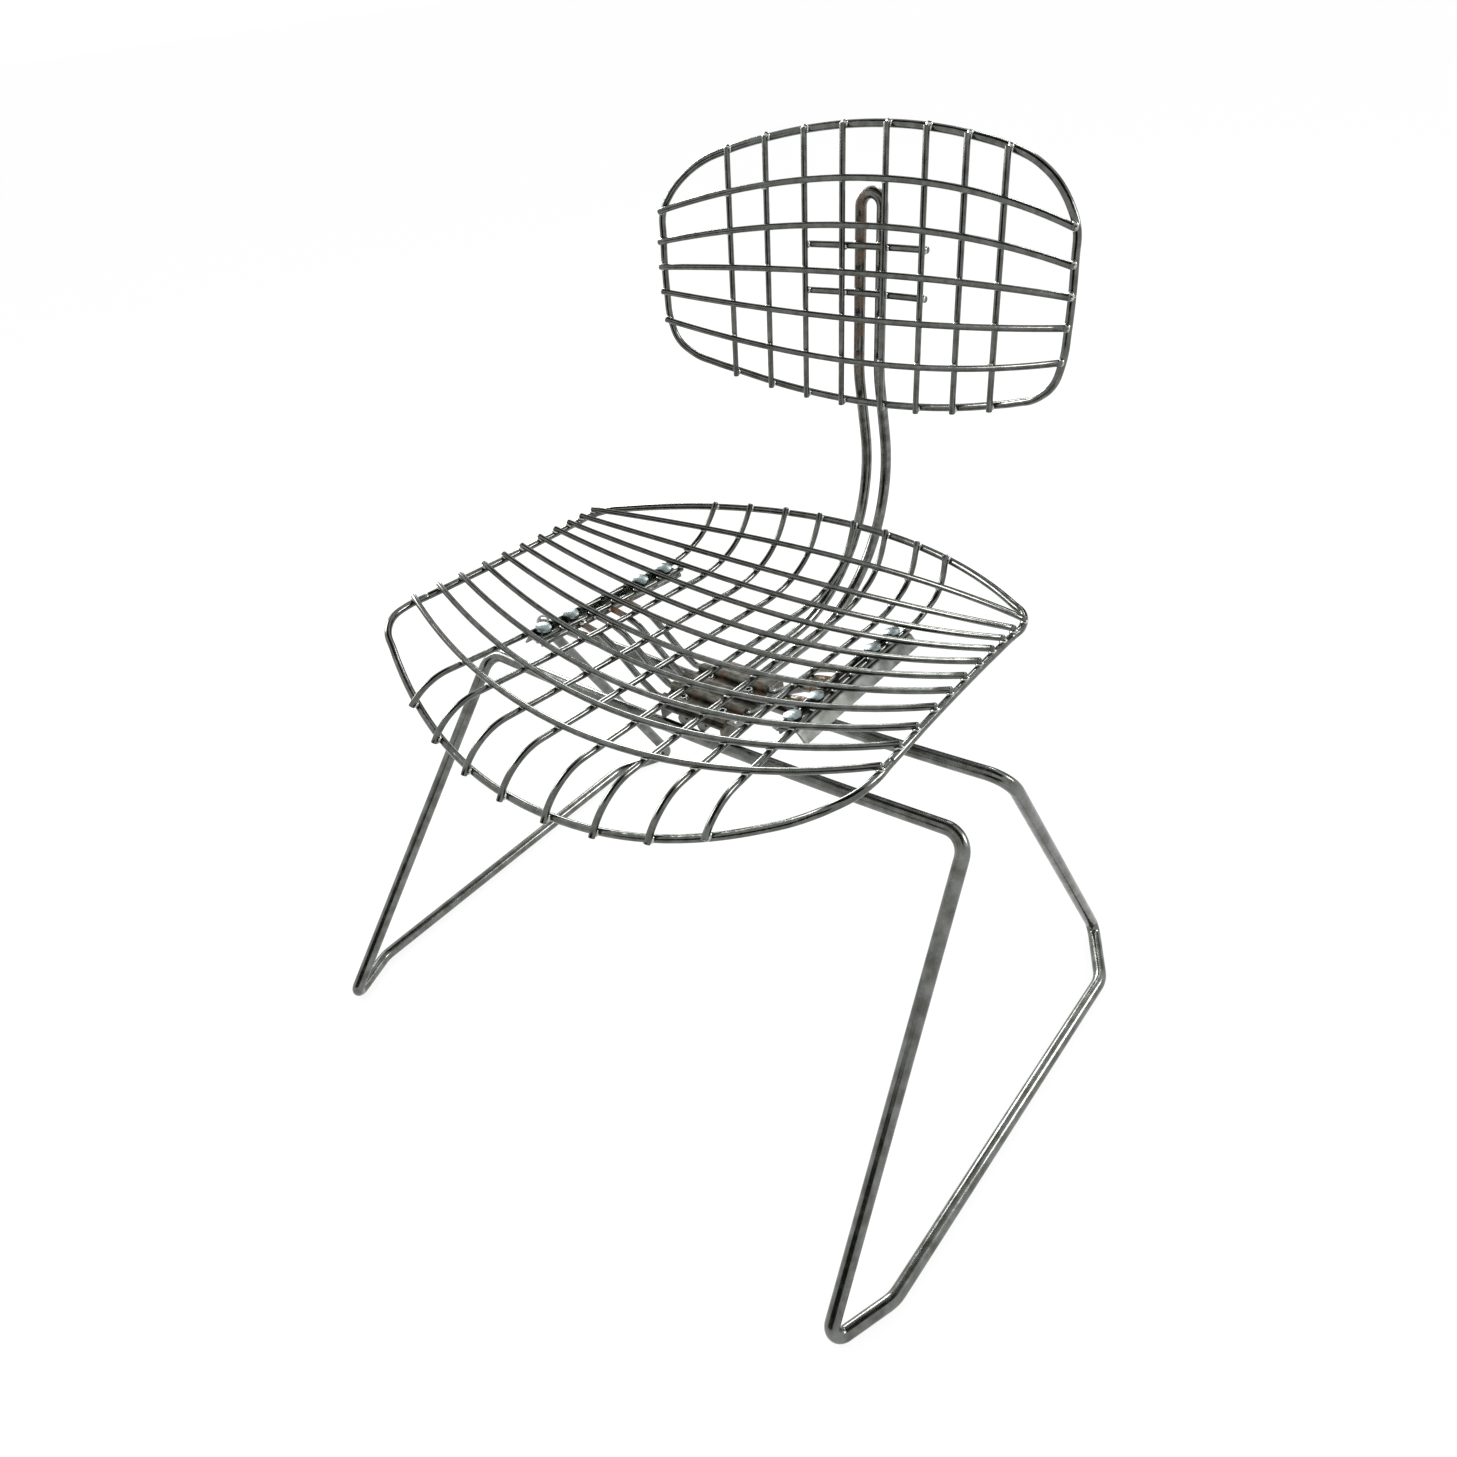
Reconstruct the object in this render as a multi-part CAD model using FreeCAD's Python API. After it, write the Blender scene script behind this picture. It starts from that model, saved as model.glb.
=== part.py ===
# Wire mesh chair: sprung seat and back of chromed wire on a bent rod base.
# Millimetres, +Z up, front faces -Y. Built from the middle of the front runner bends at the height of the
# rods' middle, then moved so that the origin lies on the floor under the middle of the chair.
import math
import os

import FreeCAD
import Part

VEC = FreeCAD.Vector

# Stock sizes
BASE_ROD = 13.0
POST_ROD = 11.0
MESH_WIRE = 5.8
RIM_WIRE = 7.0
BAR_WIRE = 6.2
SPRING_WIRE = 6.5
SHEET = 2.0
WELD = 0.12

# Where the footprint's middle lies in the frame that the sizes below are given in
FOOTPRINT_MID_Y = 255.33

# Base
RUNNER_X = 348.1
RUNNER_REAR_Y = 404.0
FRONT_TOE = (324.0, -64.0)
REAR_TOE = (310.6, 470.6)
FRONT_SHOULDER = (292.5, 219.8, 316.1)
REAR_SHOULDER = (293.5, 290.1, 323.9)
CROSS_TUBE_Z = 309.0
FRONT_TUBE_Y = 219.5
REAR_TUBE_Y = 297.0
TUBE_BOW_REACH = 262.0
TUBE_BEND = 21.0
TOE_BEND = 10.0
RUNNER_BEND = 40.0
LEG_CUT_TOP = 40.0
LEG_CUT_FOOT = 38.0
WEAR_FLAT = 0.2

# Clamp
CHANNEL_HALF_WIDTH = 38.0
CHANNEL_FRONT_Y = 219.2
CHANNEL_REAR_Y = 316.0
CHANNEL_SINK = 0.05
PLATE_MID_Y = 259.0
PLATE_HALF_DEPTH = 36.5
PLATE_HALF_SIDE = 38.0
PLATE_HALF_LENGTH = 47.0
FASTENER_X = 24.3
FASTENER_Y = (239.0, 279.3)
FASTENER_OUTER = 8.0
FASTENER_BORE = 4.6
FASTENER_RISE = 2.8
FASTENER_FOOT = 11.0
FASTENER_FOOT_THICK = 2.0
FASTENER_FLOOR = 3.0
COLLAR_REACH = 0.9
COLLAR_THICK = 0.8
HOLE_PLAY = 0.1
CHANNEL_BEND = 3.0
POST_OVER_TUBES = 1.2
SEAT_SINK = 0.02
THROUGH = 30.0

# Springs
SPRING_Y = (229.0, 249.0, 269.0, 289.0)
SPRING_PLAY = 0.05
SPRING_BENDS = ((51.0, 0.0), (68.0, 12.0), (101.0, 42.8), (117.0, 56.0))
SPRING_BEND_RADII = (12.0, 26.0, 22.0, 14.0)
SPRING_END_DROP = 0.8

# Seat brackets, each under the outer long wire and a short rail wire beside it
BRACKET_FRONT_Y = 179.0
BRACKET_REAR_Y = 371.0
BRACKET_TOP_HALF = 9.2
BRACKET_BEND = 1.5
BRACKET_OUTER_LEAN = 7.2
BRACKET_OUTER_DROP = 12.0
BRACKET_INNER_LEAN = 0.5
BRACKET_INNER_DROP = 4.5
RAIL_GAP = 13.5
RAIL_FRONT_Y = 174.0
RAIL_REAR_Y = 374.0
HEAD_Y = (189.0, 224.0, 319.5, 354.0)
HEAD_DIAMETER = 15.5
HEAD_THICK = 3.4
HEAD_LIFT = 1.8
HEAD_CROWN = 24.0
HEAD_NECK = 7.3
HEAD_SHANK = 4.6
HEAD_FOOT = 8.0
HEAD_FOOT_THICK = 1.4

# Back post
POST_X = 11.9
POST_TOP_DROP = 58.3
POST_KNEE_Z = 549.7
POST_CORNER = (571.0, 313.0)
POST_FLAT_Y = 318.0
POST_FRONT_Y = 220.5
POST_FOOT_BEND = 100.0
POST_BIG_BEND = 150.0
POST_KNEE_BEND = 120.0
POST_HAIRPIN_BEND = 12.3

# Back mesh
BACK_MID_Y = 540.5
BACK_MID_Z = 647.0
BACK_LEAN = 0.1125
BACK_CURVE = 780.0
UPRIGHT_X = (23.2, 64.7, 106.7, 148.0)
BACK_CROSS_MID_SHARE = (0.82676, 0.66531, 0.49776, 0.329, 0.16673)
BACK_CROSS_END_SHARE = (0.72062, 0.60431, 0.50671, 0.40789, 0.29321)
BACK_HALF_WIDTH = 223.2
BACK_SIDE_CURVE = 500.0
BACK_SIDE_MID_SHARE = 0.49858
BACK_TOP_Z = 771.3
BACK_TOP_CURVE = 635.0
BACK_BOTTOM_Z = 525.4
BACK_BOTTOM_CURVE = 563.0
UPRIGHT_TOP_TIP = 2.0
UPRIGHT_FOOT_TIP = 5.0
BACK_CROSS_TIP = 3.0
BACK_UPPER_START_INSET = 47.2
BACK_UPPER_START_DROP = 1.5
BACK_UPPER_CORNER = ((24.7, 0.83611), (11.7, 0.78121))
BACK_LOWER_CORNER = ((9.7, 0.20984), (27.2, 0.14681))
BACK_LOWER_START_INSET = 51.2
BACK_CORNER_GAPS = (6.6, 5.0, 3.8)
MOUNT_BAR_DROP = (43.0, 85.0)
MOUNT_BAR_HALF = 67.5

# Seat mesh
SEAT_SLOPE = 0.077
SEAT_REF_Y = 241.0
SEAT_REF_Z = 383.0
SEAT_REAR_BEND_Y = 382.0
SEAT_REAR_RADIUS = 104.0
SEAT_FRONT_RADIUS = 60.0
CROSS_MID_Y = (451.0, 418.0, 384.2, 348.0, 309.5, 275.8, 241.0, 200.5, 165.0, 129.0, 86.5)
CROSS_END_Y = (376.3, 357.6, 338.5, 318.9, 296.3, 271.2, 246.9, 221.0, 191.5, 164.9, 134.9)
SEAT_SIDE_X = 259.0
SEAT_SIDE_FLARE = 9.5
SEAT_SIDE_Z = 418.9
SEAT_SIDE_RISE = 0.0385
LONG_X = (21.6, 63.0, 105.0, 144.4)
LONG_FAN = 1.23e-6
LONG_FAN_START_Y = 450.0
LONG_TIP = 6.0
CROSS_TIP = 2.8
RIM_REAR_Y = 480.0
RIM_REAR_CURVE = 400.0
RIM_REAR_Z = 416.3
RIM_REAR_RISE = 1.85
RIM_REAR_HALF = 225.0
RIM_REAR_X = (0.0, 72.0, 144.0, 200.0, 232.0)
RIM_REAR_CORNER_X = 249.6
RIM_REAR_CORNER_Y = 372.0
RIM_FRONT_Y = 19.5
RIM_FRONT_CURVE = 500.0
RIM_FRONT_Z = 366.0
RIM_FRONT_RISE = 64.0
RIM_FRONT_HALF = 272.0
RIM_FRONT_POWER = 2.3
RIM_FRONT_CORNER = ((265.5, 105.5, 427.4), (254.0, 89.0, 422.4))
RIM_FRONT_X = (237.0, 203.0, 173.0, 128.0, 76.0, 0.0)
RIM_SPLIT_REAR_Y = 350.0
RIM_SIDE_Y = (300.0, 250.0, 200.0)
RIM_SPLIT_FRONT_Y = 150.0
RIM_SIDE_END_Y = 128.0

made = {}


def unit(v):
    return v * (1.0 / v.Length)


def line(a, b):
    return Part.LineSegment(a, b).toShape()


def corner_arc(p, corner, q):
    """Arc from p to q whose tangents meet at the corner; a line when it would be flat."""
    chord = q - p
    mid = (p + q) * 0.5
    rise = corner - mid
    if rise.Length < 0.0004 * chord.Length:
        return line(p, q)
    reach = (corner - p).Length
    half_turn = math.asin(min(1.0, rise.Length / reach))
    radius = reach / math.tan(half_turn)
    sag = radius * (1.0 - math.cos(half_turn))
    return Part.Arc(p, mid + unit(rise) * sag, q).toShape()


def bent(points, radii):
    """Centre line of a bent rod: straight runs, each inner corner rounded by its radius."""
    edges = []
    start = points[0]
    for i in range(1, len(points) - 1):
        corner = points[i]
        u = unit(points[i - 1] - corner)
        w = unit(points[i + 1] - corner)
        half = math.acos(max(-1.0, min(1.0, u.dot(w)))) / 2.0
        reach = radii[i - 1] / math.tan(half)
        p = corner + u * reach
        q = corner + w * reach
        if (p - start).Length > 1e-4:
            edges.append(line(start, p))
        edges.append(corner_arc(p, corner, q))
        start = q
    if (points[-1] - start).Length > 1e-4:
        edges.append(line(start, points[-1]))
    return edges


def tangents(points):
    """Directions of a smooth curve through the points."""
    inner = []
    for i in range(1, len(points) - 1):
        before = points[i] - points[i - 1]
        after = points[i + 1] - points[i]
        inner.append(unit(before * (after.Length / before.Length) + after * (before.Length / after.Length)))
    first = unit(points[1] - points[0])
    last = unit(points[-1] - points[-2])
    return [unit(first * (2.0 * first.dot(inner[0])) - inner[0])] + inner + \
        [unit(last * (2.0 * last.dot(inner[-1])) - inner[-1])]


def through(points, directions=None):
    """Smooth centre line through the points, two tangent arcs to each span."""
    if directions is None:
        directions = tangents(points)
    edges = []
    for a, b, ta, tb in zip(points, points[1:], directions, directions[1:]):
        span = b - a
        lean = 1.0 - ta.dot(tb)
        along = span.dot(ta + tb)
        if lean < 1e-7:
            reach = span.Length / 4.0
        else:
            reach = (-along + math.sqrt(along * along + 4.0 * lean * span.dot(span))) / (4.0 * lean)
        c1 = a + ta * reach
        c2 = b - tb * reach
        joint = (c1 + c2) * 0.5
        edges.append(corner_arc(a, c1, joint))
        edges.append(corner_arc(joint, c2, b))
    return edges


def rod(edges, diameter):
    """Round rod along the edges of a centre line."""
    path = Part.Wire(edges)
    first = path.OrderedEdges[0]
    start = first.valueAt(first.FirstParameter)
    heading = first.tangentAt(first.FirstParameter)
    if path.OrderedVertexes[0].Point.distanceToPoint(start) > 1e-6:
        start = first.valueAt(first.LastParameter)
        heading = first.tangentAt(first.LastParameter)
    ring = Part.Wire([Part.Circle(start, heading, diameter / 2.0).toShape()])
    sweep = Part.BRepOffsetAPI.MakePipeShell(path)
    sweep.add(ring)
    sweep.build()
    sweep.makeSolid()
    solid = sweep.shape()
    if solid.Volume < 0:
        solid.reverse()
    return solid


def mirrored(shape):
    return shape.mirror(VEC(0, 0, 0), VEC(1, 0, 0))


def keep(name, *shapes):
    made[name] = shapes[0] if len(shapes) == 1 else Part.makeCompound(list(shapes))


# Base: toes and runners on the floor, legs leaning in to the cross tubes

def side(point, sign):
    return VEC(sign * point.x, point.y, point.z)


def build_base():
    front_toe = VEC(FRONT_TOE[0], FRONT_TOE[1], 0)
    rear_toe = VEC(REAR_TOE[0], REAR_TOE[1], 0)
    front_kink = VEC(RUNNER_X, 0, 0)
    rear_kink = VEC(RUNNER_X, RUNNER_REAR_Y, 0)
    for end, toe, shoulder, tube_y in (
            ("front", front_toe, VEC(*FRONT_SHOULDER), FRONT_TUBE_Y),
            ("rear", rear_toe, VEC(*REAR_SHOULDER), REAR_TUBE_Y)):
        down = unit(toe - shoulder)
        leg_top = shoulder + down * LEG_CUT_TOP
        leg_foot = toe - down * LEG_CUT_FOOT
        for word, sign in (("left", -1), ("right", 1)):
            keep("base_%s_leg_%s" % (end, word), rod([line(side(leg_foot, sign), side(leg_top, sign))], BASE_ROD))
        level = VEC(0, shoulder.y, shoulder.z)
        sag = VEC(0, tube_y, CROSS_TUBE_Z) - level
        corner = level + sag * (1.0 / (1.0 - TUBE_BOW_REACH / (2.0 * shoulder.x)))
        bow = TUBE_BOW_REACH * shoulder.x / (corner - level).Length
        tube = [side(leg_top, -1), side(shoulder, -1), corner, shoulder, leg_top]
        keep("base_%s_cross_tube" % end, rod(bent(tube, [TUBE_BEND, bow, TUBE_BEND]), BASE_ROD))
        if end == "front":
            front_foot = leg_foot
        else:
            rear_foot = leg_foot
    path = [front_foot, front_toe, front_kink, rear_kink, rear_toe, rear_foot]
    radii = [TOE_BEND, RUNNER_BEND, RUNNER_BEND, TOE_BEND]
    for word, sign in (("left", -1), ("right", 1)):
        runner = rod(bent([side(p, sign) for p in path], radii), BASE_ROD)
        keep("base_runner_%s" % word, worn_under(runner))


def worn_under(runner):
    """The runner with the narrow flat that it has where it stands and slides on the floor."""
    box = runner.BoundBox
    floor = Part.makeBox(box.XLength + 2, box.YLength + 2, BASE_ROD,
                         VEC(box.XMin - 1, box.YMin - 1, WEAR_FLAT - 1.5 * BASE_ROD))
    return max(runner.cut(floor).Solids, key=lambda solid: solid.Volume)


# Clamp in the middle of the cross tubes

CHANNEL_BOTTOM_Z = CROSS_TUBE_Z + BASE_ROD / 2.0 - CHANNEL_SINK
CHANNEL_TOP_Z = CROSS_TUBE_Z + BASE_ROD / 2.0 + POST_OVER_TUBES + POST_ROD + SHEET
POST_FLAT_Z = CHANNEL_TOP_Z - SHEET - POST_ROD / 2.0 + SEAT_SINK
SPRING_FLAT_Z = CHANNEL_TOP_Z + SPRING_WIRE / 2.0


def build_clamp():
    depth = CHANNEL_REAR_Y - CHANNEL_FRONT_Y
    height = CHANNEL_TOP_Z - CHANNEL_BOTTOM_Z
    channel = Part.makeBox(2 * CHANNEL_HALF_WIDTH, depth, height,
                           VEC(-CHANNEL_HALF_WIDTH, CHANNEL_FRONT_Y, CHANNEL_BOTTOM_Z))
    top_edges = []
    for edge in channel.Edges:
        middle = edge.CenterOfMass
        if middle.z > CHANNEL_TOP_Z - 0.01 and abs(middle.x) > CHANNEL_HALF_WIDTH - 0.01:
            top_edges.append(edge)
    channel = channel.makeFillet(CHANNEL_BEND, top_edges)
    inner = Part.makeBox(2 * (CHANNEL_HALF_WIDTH - SHEET), depth + 2, height,
                         VEC(-CHANNEL_HALF_WIDTH + SHEET, CHANNEL_FRONT_Y - 1, CHANNEL_BOTTOM_Z - SHEET))
    channel = channel.cut(inner)
    low = PLATE_MID_Y - PLATE_HALF_DEPTH
    high = PLATE_MID_Y + PLATE_HALF_DEPTH
    outline = Part.Wire([
        line(VEC(-PLATE_HALF_SIDE, low, 0), VEC(PLATE_HALF_SIDE, low, 0)),
        Part.Arc(VEC(PLATE_HALF_SIDE, low, 0), VEC(PLATE_HALF_LENGTH, PLATE_MID_Y, 0),
                 VEC(PLATE_HALF_SIDE, high, 0)).toShape(),
        line(VEC(PLATE_HALF_SIDE, high, 0), VEC(-PLATE_HALF_SIDE, high, 0)),
        Part.Arc(VEC(-PLATE_HALF_SIDE, high, 0), VEC(-PLATE_HALF_LENGTH, PLATE_MID_Y, 0),
                 VEC(-PLATE_HALF_SIDE, low, 0)).toShape()])
    blank = Part.Face(outline).extrude(VEC(0, 0, THROUGH))
    blank.translate(VEC(0, 0, CHANNEL_TOP_Z))
    ridge_radius = SPRING_WIRE / 2.0 + SHEET
    flat = Part.makeBox(4 * PLATE_HALF_LENGTH, 2 * PLATE_HALF_DEPTH + 2, SHEET,
                        VEC(-2 * PLATE_HALF_LENGTH, low - 1, CHANNEL_TOP_Z))
    ridges = [Part.makeCylinder(ridge_radius, 4 * PLATE_HALF_LENGTH,
                                VEC(-2 * PLATE_HALF_LENGTH, y, SPRING_FLAT_Z), VEC(1, 0, 0)) for y in SPRING_Y]
    grooves = [Part.makeCylinder(SPRING_WIRE / 2.0, 4 * PLATE_HALF_LENGTH,
                                 VEC(-2 * PLATE_HALF_LENGTH, y, SPRING_FLAT_Z), VEC(1, 0, 0)) for y in SPRING_Y]
    slots = [Part.makeBox(4 * PLATE_HALF_LENGTH, SPRING_WIRE, SPRING_WIRE / 2.0,
                          VEC(-2 * PLATE_HALF_LENGTH, y - SPRING_WIRE / 2.0, CHANNEL_TOP_Z)) for y in SPRING_Y]
    plate = flat.fuse(ridges).common(blank).cut(Part.makeCompound(grooves)).cut(Part.makeCompound(slots))
    fasteners = []
    for x in (-FASTENER_X, FASTENER_X):
        for y in FASTENER_Y:
            hole = Part.makeCylinder(FASTENER_OUTER / 2.0 + HOLE_PLAY, THROUGH,
                                     VEC(x, y, CHANNEL_TOP_Z - THROUGH / 2.0))
            channel = channel.cut(hole)
            plate = plate.cut(hole)
            top = CHANNEL_TOP_Z + SHEET + FASTENER_RISE
            foot = CHANNEL_TOP_Z - SHEET - FASTENER_FOOT_THICK
            shank = Part.makeCylinder(FASTENER_OUTER / 2.0, top - foot, VEC(x, y, foot))
            nut = Part.makeCylinder(FASTENER_FOOT / 2.0, FASTENER_FOOT_THICK, VEC(x, y, foot))
            collar = Part.makeCylinder(FASTENER_OUTER / 2.0 + COLLAR_REACH, COLLAR_THICK,
                                       VEC(x, y, CHANNEL_TOP_Z + SHEET))
            fastener = shank.fuse([nut, collar])
            floor = foot + FASTENER_FLOOR
            bore = Part.makeCylinder(FASTENER_BORE / 2.0, top - floor, VEC(x, y, floor))
            fasteners.append(fastener.cut(bore).removeSplitter())
    keep("clamp_channel", channel)
    keep("clamp_top_plate", plate.removeSplitter())
    keep("clamp_fasteners", *fasteners)


# Back post: one rod, two ends in the clamp, hairpin bend behind the mesh

def build_post(knee_y, top_y):
    half = [VEC(POST_X, POST_FRONT_Y, POST_FLAT_Z),
            VEC(POST_X, POST_FLAT_Y, POST_FLAT_Z),
            VEC(POST_X, POST_CORNER[0], POST_CORNER[1]),
            VEC(POST_X, knee_y, POST_KNEE_Z),
            VEC(POST_X, top_y, POST_TOP_Z)]
    path = half + [side(p, -1) for p in reversed(half)]
    radii = [POST_FOOT_BEND, POST_BIG_BEND, POST_KNEE_BEND, POST_HAIRPIN_BEND]
    keep("back_post", rod(bent(path, radii + radii[::-1]), POST_ROD))


# Back mesh

CROSS_GAP = MESH_WIRE / 2.0 - WELD / 2.0
RIM_GAP = (MESH_WIRE + RIM_WIRE) / 2.0 - WELD
POST_TOP_Z = BACK_TOP_Z - POST_TOP_DROP
MOUNT_BAR_Z = [POST_TOP_Z - drop for drop in MOUNT_BAR_DROP]


def back_share_z(share):
    """Height at this share of the way from the lowest to the highest point of the rim."""
    return BACK_BOTTOM_Z + share * (BACK_TOP_Z - BACK_BOTTOM_Z)


def back_y(x, z):
    return BACK_MID_Y + BACK_LEAN * (z - BACK_MID_Z) - (BACK_CURVE - math.sqrt(BACK_CURVE ** 2 - x * x))


def back_point(x, z, behind):
    """Point so far behind the surface between the uprights and the cross wires, square to it."""
    normal = unit(VEC(x / math.sqrt(BACK_CURVE ** 2 - x * x), 1, -BACK_LEAN))
    return VEC(x, back_y(x, z), z) + normal * behind


def back_top_z(x):
    return BACK_TOP_Z - BACK_TOP_CURVE + math.sqrt(BACK_TOP_CURVE ** 2 - x * x)


def back_bottom_z(x):
    return BACK_BOTTOM_Z + BACK_BOTTOM_CURVE - math.sqrt(BACK_BOTTOM_CURVE ** 2 - x * x)


def back_side_x(z):
    return BACK_HALF_WIDTH - (z - back_share_z(BACK_SIDE_MID_SHARE)) ** 2 / (2 * BACK_SIDE_CURVE)


def build_back():
    under_upright = CROSS_GAP + RIM_GAP
    under_cross = RIM_GAP - CROSS_GAP
    number = 0
    for x in [-v for v in reversed(UPRIGHT_X)] + list(UPRIGHT_X):
        number += 1
        bottom = back_point(x, back_bottom_z(x), CROSS_GAP)
        top = back_point(x, back_top_z(x), CROSS_GAP)
        up = unit(top - bottom)
        wire = line(bottom - up * UPRIGHT_FOOT_TIP, top + up * UPRIGHT_TOP_TIP)
        keep("back_upright_wire_%d" % number, rod([wire], MESH_WIRE))
    mids = [back_share_z(share) for share in BACK_CROSS_MID_SHARE]
    end_heights = [back_share_z(share) for share in BACK_CROSS_END_SHARE]
    for i, (mid_z, end_z) in enumerate(zip(mids, end_heights)):
        reach = back_side_x(end_z) + BACK_CROSS_TIP
        lift = (end_z - mid_z) * (reach / back_side_x(end_z)) ** 2
        left = back_point(-reach, mid_z + lift, -CROSS_GAP)
        right = back_point(reach, mid_z + lift, -CROSS_GAP)
        middle = back_point(0, mid_z, -CROSS_GAP)
        keep("back_cross_wire_%d" % (i + 1), rod([Part.Arc(left, middle, right).toShape()], MESH_WIRE))
    gap = CROSS_GAP + (MESH_WIRE + BAR_WIRE) / 2.0 - WELD
    bars = []
    for z in MOUNT_BAR_Z:
        ends = [back_point(s * MOUNT_BAR_HALF, z, gap) for s in (-1, 1)]
        bars.append(rod([Part.Arc(ends[0], back_point(0, z, gap), ends[1]).toShape()], BAR_WIRE))
    keep("back_mount_bars", *bars)
    top = [back_point(x, back_top_z(x), under_upright) for x in (0.0,) + UPRIGHT_X]
    bottom = [back_point(x, back_bottom_z(x), under_upright) for x in (0.0,) + UPRIGHT_X]
    sides = [back_point(back_side_x(z), z, under_cross) for z in end_heights]
    x = BACK_HALF_WIDTH - BACK_UPPER_START_INSET
    upper = [(x, back_top_z(x) - BACK_UPPER_START_DROP)]
    upper += [(BACK_HALF_WIDTH - inset, back_share_z(share)) for inset, share in BACK_UPPER_CORNER]
    upper_corner = [back_point(x, z, gap) for (x, z), gap in zip(upper, BACK_CORNER_GAPS)]
    x = BACK_HALF_WIDTH - BACK_LOWER_START_INSET
    lower = [(BACK_HALF_WIDTH - inset, back_share_z(share)) for inset, share in BACK_LOWER_CORNER]
    lower.append((x, back_bottom_z(x)))
    lower_corner = [back_point(x, z, gap) for (x, z), gap in zip(lower, BACK_CORNER_GAPS[::-1])]
    half = top + upper_corner + sides + lower_corner + list(reversed(bottom))
    loop = half + [side(p, -1) for p in reversed(half[1:-1])]
    middle = len(top) + len(upper_corner) + 2
    closed_rim("back_rim", loop, (middle, len(loop) - middle), ("lower", "upper"), RIM_WIRE)


def closed_rim(name, loop, cuts, words, diameter):
    """Closed rim wire, cut at these points of the loop into pieces that meet end to end."""
    count = len(loop)
    headings = tangents(loop * 3)[count:2 * count]
    for i, word in enumerate(words):
        first = cuts[i]
        last = cuts[i + 1] if i + 1 < len(cuts) else cuts[0] + count
        points = [loop[k % count] for k in range(first, last + 1)]
        ways = [headings[k % count] for k in range(first, last + 1)]
        keep("%s_%s" % (name, word), rod(through(points, ways), diameter))


# Seat mesh

def seat_mid_z(y):
    """Height of the surface between the long and the cross wires in the middle plane."""
    tilt = math.atan(SEAT_SLOPE)
    rear_z = SEAT_REF_Z - SEAT_SLOPE * (SEAT_REAR_BEND_Y - SEAT_REF_Y)
    if y > SEAT_REAR_BEND_Y:
        away = y - SEAT_REAR_BEND_Y - SEAT_REAR_RADIUS * math.sin(tilt)
        return rear_z + SEAT_REAR_RADIUS * math.cos(tilt) - math.sqrt(SEAT_REAR_RADIUS ** 2 - away ** 2)
    return SEAT_REF_Z - SEAT_SLOPE * (y - SEAT_REF_Y)


def seat_side_x(y):
    return SEAT_SIDE_X + SEAT_SIDE_FLARE * max(0.0, (CROSS_END_Y[0] - y) / (CROSS_END_Y[0] - CROSS_END_Y[-1])) ** 2


def seat_side_z(y):
    return SEAT_SIDE_Z + SEAT_SIDE_RISE * (CROSS_END_Y[0] - y)


def rim_rear(x):
    y = RIM_REAR_Y - RIM_REAR_CURVE + math.sqrt(RIM_REAR_CURVE ** 2 - x * x)
    return VEC(x, y, RIM_REAR_Z + RIM_REAR_RISE * (x / RIM_REAR_HALF) ** 2)


def rim_front(x):
    y = RIM_FRONT_Y + RIM_FRONT_CURVE - math.sqrt(RIM_FRONT_CURVE ** 2 - x * x)
    return VEC(x, y, RIM_FRONT_Z + RIM_FRONT_RISE * (abs(x) / RIM_FRONT_HALF) ** RIM_FRONT_POWER)


def rim_side(y):
    return VEC(seat_side_x(y), y, seat_side_z(y))


class CrossWire:
    """Flat arc through the middle point and the two rim ends of one cross wire."""

    def __init__(self, mid_y, end_y):
        slope = (seat_mid_z(mid_y + 0.5) - seat_mid_z(mid_y - 0.5))
        lift = unit(VEC(0, -slope, 1))
        self.middle = VEC(0, mid_y, seat_mid_z(mid_y)) + lift * CROSS_GAP
        rim = rim_side(end_y)
        up = unit(VEC(-0.36, 0, 1))
        end = rim + up * RIM_GAP
        for attempt in range(6):
            self.set_end(end)
            heading = self.heading(end.x)
            along = unit(rim_side(end_y + 1) - rim_side(end_y - 1))
            up = unit(along.cross(heading))
            if up.z < 0:
                up = up * -1
            end = rim + up * RIM_GAP
        self.set_end(end)

    def set_end(self, end):
        self.half = end.x
        drop = VEC(0, end.y - self.middle.y, end.z - self.middle.z)
        self.sag = drop.Length
        self.rise = unit(drop)
        self.radius = (self.half ** 2 + self.sag ** 2) / (2 * self.sag)

    def at(self, x):
        depth = self.radius - math.sqrt(self.radius ** 2 - x * x)
        return VEC(x, self.middle.y, self.middle.z) + self.rise * depth

    def heading(self, x):
        swing = x / self.radius
        return VEC(math.sqrt(1 - swing ** 2), 0, 0) + self.rise * swing

    def solid(self):
        swing = math.asin(self.half / self.radius) + CROSS_TIP / self.radius
        reach = self.radius * math.sin(swing)
        return rod([Part.Arc(self.at(-reach), self.middle, self.at(reach)).toShape()], MESH_WIRE)


def long_x(start, y):
    return start * (1 + LONG_FAN * max(0.0, LONG_FAN_START_Y - y) ** 2)


def long_wire_points(start, crosses):
    """Points and headings of one long wire from the rear tip to the front tip."""
    lower = under_crosses(start, crosses)
    rear, rear_heading = rear_rim_end(start, lower[0], lower[1])
    bend, bend_heading, front, front_heading = front_bend(long_x(start, RIM_FRONT_Y), lower[-1], lower[-2])
    points = [rear + rear_heading * LONG_TIP, rear] + lower + [bend, front, front + front_heading * LONG_TIP]
    headings = tangents(points)
    headings[-3:] = [bend_heading, front_heading, front_heading]
    return points, headings


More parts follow.
